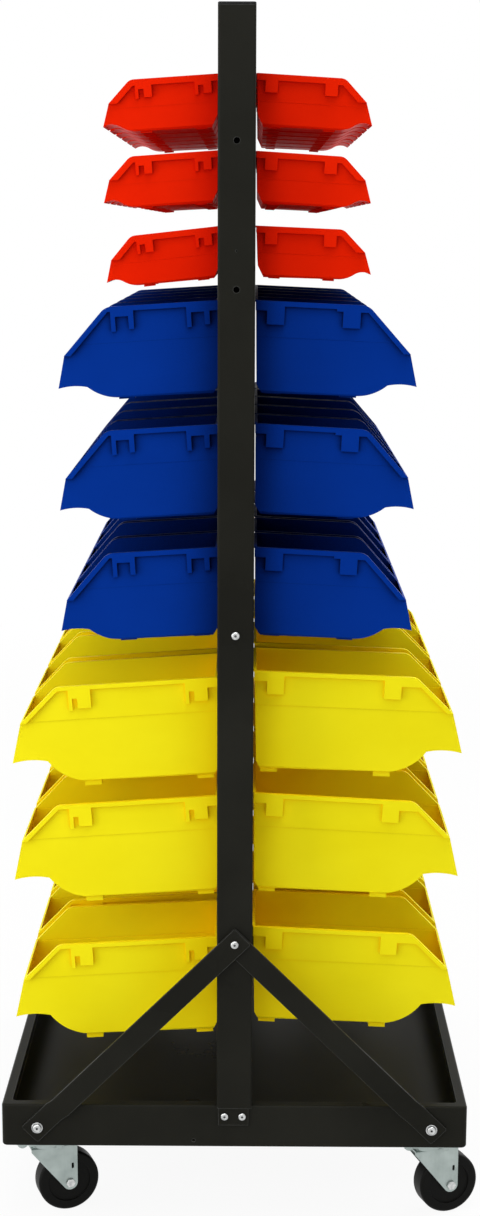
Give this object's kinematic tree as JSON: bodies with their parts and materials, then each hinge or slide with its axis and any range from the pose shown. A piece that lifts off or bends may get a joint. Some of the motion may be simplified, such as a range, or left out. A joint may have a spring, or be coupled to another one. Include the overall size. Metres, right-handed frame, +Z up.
{
  "type": "mobile bin cart",
  "caption": "Double-sided rolling rack on casters: hooked plastic bins of three sizes hang on rails between two posts above a tray.",
  "frame": {"origin": "on the floor under the middle of the cart", "axes": "+Z up; X across the cart, from one side's bins to the other's; Y along the cart, the end that the picture shows at -Y"},
  "size_m": [0.5984, 0.7664, 1.436],
  "materials": {
    "black_powder_coat": "satin",
    "red_bin_plastic": "satin",
    "blue_bin_plastic": "satin",
    "yellow_bin_plastic": "satin",
    "zinc_plate": "satin",
    "foot_plate_steel": "satin",
    "fastener_steel": "polished",
    "wheel_rubber": "matt",
    "cap_plastic": "matt"
  },
  "bodies": {
    "frame": {"base_tray": "black_powder_coat", "blue_rails": "black_powder_coat", "brace_foot_bolts": "fastener_steel", "brace_top_bolts": "fastener_steel", "brace_washers": "fastener_steel", "caster_bolts": "fastener_steel", "caster_nuts": "fastener_steel", "caster_plates": "zinc_plate", "cross_tie": "black_powder_coat", "far_foot_plate": "foot_plate_steel", "far_left_brace": "black_powder_coat", "far_post": "black_powder_coat", "far_right_brace": "black_powder_coat", "foot_bolts": "fastener_steel", "frame_nuts": "fastener_steel", "kingpins": "zinc_plate", "near_foot_plate": "foot_plate_steel", "near_left_brace": "black_powder_coat", "near_post": "black_powder_coat", "near_right_brace": "black_powder_coat", "other_blue_bins_left": "blue_bin_plastic", "other_blue_bins_right": "blue_bin_plastic", "other_red_bins_left": "red_bin_plastic", "other_red_bins_right": "red_bin_plastic", "other_yellow_bins_left": "yellow_bin_plastic", "other_yellow_bins_right": "yellow_bin_plastic", "post_caps": "cap_plastic", "red_rails": "black_powder_coat", "tie_bolts": "fastener_steel", "yellow_rails": "black_powder_coat"},
    "near_left_swivel": {"near_left_fork": "zinc_plate", "near_left_axle": "fastener_steel"},
    "near_left_roller": {"near_left_wheel": "wheel_rubber"},
    "near_right_swivel": {"near_right_fork": "zinc_plate", "near_right_axle": "fastener_steel"},
    "near_right_roller": {"near_right_wheel": "wheel_rubber"},
    "far_left_swivel": {"far_left_fork": "zinc_plate", "far_left_axle": "fastener_steel"},
    "far_left_roller": {"far_left_wheel": "wheel_rubber"},
    "far_right_swivel": {"far_right_fork": "zinc_plate", "far_right_axle": "fastener_steel"},
    "far_right_roller": {"far_right_wheel": "wheel_rubber"},
    "blue_bin_1_left": {"blue_bin_1_left": "blue_bin_plastic"},
    "blue_bin_1_right": {"blue_bin_1_right": "blue_bin_plastic"},
    "blue_bin_2_left": {"blue_bin_2_left": "blue_bin_plastic"},
    "blue_bin_2_right": {"blue_bin_2_right": "blue_bin_plastic"},
    "blue_bin_3_left": {"blue_bin_3_left": "blue_bin_plastic"},
    "blue_bin_3_right": {"blue_bin_3_right": "blue_bin_plastic"},
    "red_bin_1_left": {"red_bin_1_left": "red_bin_plastic"},
    "red_bin_1_right": {"red_bin_1_right": "red_bin_plastic"},
    "red_bin_2_left": {"red_bin_2_left": "red_bin_plastic"},
    "red_bin_2_right": {"red_bin_2_right": "red_bin_plastic"},
    "red_bin_3_left": {"red_bin_3_left": "red_bin_plastic"},
    "red_bin_3_right": {"red_bin_3_right": "red_bin_plastic"},
    "yellow_bin_1_left": {"yellow_bin_1_left": "yellow_bin_plastic"},
    "yellow_bin_1_right": {"yellow_bin_1_right": "yellow_bin_plastic"},
    "yellow_bin_2_left": {"yellow_bin_2_left": "yellow_bin_plastic"},
    "yellow_bin_2_right": {"yellow_bin_2_right": "yellow_bin_plastic"},
    "yellow_bin_3_left": {"yellow_bin_3_left": "yellow_bin_plastic"},
    "yellow_bin_3_right": {"yellow_bin_3_right": "yellow_bin_plastic"}
  },
  "joints": [
    {"name": "near_left_swivel_turn", "type": "hinge", "parent": "frame", "child": "near_left_swivel", "pos_m": [-0.234, -0.318, 0.09], "axis": [0, 0, 1], "continuous": true},
    {"name": "near_left_wheel_roll", "type": "hinge", "parent": "near_left_swivel", "child": "near_left_roller", "pos_m": [-0.20769, -0.30842, 0.038], "axis": [-0.342, 0.9397, 0], "continuous": true},
    {"name": "near_right_swivel_turn", "type": "hinge", "parent": "frame", "child": "near_right_swivel", "pos_m": [0.234, -0.318, 0.09], "axis": [0, 0, 1], "continuous": true},
    {"name": "near_right_wheel_roll", "type": "hinge", "parent": "near_right_swivel", "child": "near_right_roller", "pos_m": [0.26031, -0.30842, 0.038], "axis": [-0.342, 0.9397, 0], "continuous": true},
    {"name": "far_left_swivel_turn", "type": "hinge", "parent": "frame", "child": "far_left_swivel", "pos_m": [-0.234, 0.318, 0.09], "axis": [0, 0, 1], "continuous": true},
    {"name": "far_left_wheel_roll", "type": "hinge", "parent": "far_left_swivel", "child": "far_left_roller", "pos_m": [-0.26031, 0.30842, 0.038], "axis": [0.342, -0.9397, 0], "continuous": true},
    {"name": "far_right_swivel_turn", "type": "hinge", "parent": "frame", "child": "far_right_swivel", "pos_m": [0.234, 0.318, 0.09], "axis": [0, 0, 1], "continuous": true},
    {"name": "far_right_wheel_roll", "type": "hinge", "parent": "far_right_swivel", "child": "far_right_roller", "pos_m": [0.20769, 0.30842, 0.038], "axis": [0.342, -0.9397, 0], "continuous": true},
    {"name": "blue_bin_1_left_lift", "type": "slide", "parent": "frame", "child": "blue_bin_1_left", "axis": [0, 0, 1], "range_m": [0, 0.013]},
    {"name": "blue_bin_1_right_lift", "type": "slide", "parent": "frame", "child": "blue_bin_1_right", "axis": [0, 0, 1], "range_m": [0, 0.013]},
    {"name": "blue_bin_2_left_lift", "type": "slide", "parent": "frame", "child": "blue_bin_2_left", "axis": [0, 0, 1], "range_m": [0, 0.013]},
    {"name": "blue_bin_2_right_lift", "type": "slide", "parent": "frame", "child": "blue_bin_2_right", "axis": [0, 0, 1], "range_m": [0, 0.013]},
    {"name": "blue_bin_3_left_lift", "type": "slide", "parent": "frame", "child": "blue_bin_3_left", "axis": [0, 0, 1], "range_m": [0, 0.013]},
    {"name": "blue_bin_3_right_lift", "type": "slide", "parent": "frame", "child": "blue_bin_3_right", "axis": [0, 0, 1], "range_m": [0, 0.013]},
    {"name": "red_bin_1_left_lift", "type": "slide", "parent": "frame", "child": "red_bin_1_left", "axis": [0, 0, 1], "range_m": [0, 0.013]},
    {"name": "red_bin_1_right_lift", "type": "slide", "parent": "frame", "child": "red_bin_1_right", "axis": [0, 0, 1], "range_m": [0, 0.013]},
    {"name": "red_bin_2_left_lift", "type": "slide", "parent": "frame", "child": "red_bin_2_left", "axis": [0, 0, 1], "range_m": [0, 0.013]},
    {"name": "red_bin_2_right_lift", "type": "slide", "parent": "frame", "child": "red_bin_2_right", "axis": [0, 0, 1], "range_m": [0, 0.013]},
    {"name": "red_bin_3_left_lift", "type": "slide", "parent": "frame", "child": "red_bin_3_left", "axis": [0, 0, 1], "range_m": [0, 0.013]},
    {"name": "red_bin_3_right_lift", "type": "slide", "parent": "frame", "child": "red_bin_3_right", "axis": [0, 0, 1], "range_m": [0, 0.013]},
    {"name": "yellow_bin_1_left_lift", "type": "slide", "parent": "frame", "child": "yellow_bin_1_left", "axis": [0, 0, 1], "range_m": [0, 0.013]},
    {"name": "yellow_bin_1_right_lift", "type": "slide", "parent": "frame", "child": "yellow_bin_1_right", "axis": [0, 0, 1], "range_m": [0, 0.013]},
    {"name": "yellow_bin_2_left_lift", "type": "slide", "parent": "frame", "child": "yellow_bin_2_left", "axis": [0, 0, 1], "range_m": [0, 0.013]},
    {"name": "yellow_bin_2_right_lift", "type": "slide", "parent": "frame", "child": "yellow_bin_2_right", "axis": [0, 0, 1], "range_m": [0, 0.013]},
    {"name": "yellow_bin_3_left_lift", "type": "slide", "parent": "frame", "child": "yellow_bin_3_left", "axis": [0, 0, 1], "range_m": [0, 0.013]},
    {"name": "yellow_bin_3_right_lift", "type": "slide", "parent": "frame", "child": "yellow_bin_3_right", "axis": [0, 0, 1], "range_m": [0, 0.013]}
  ]
}
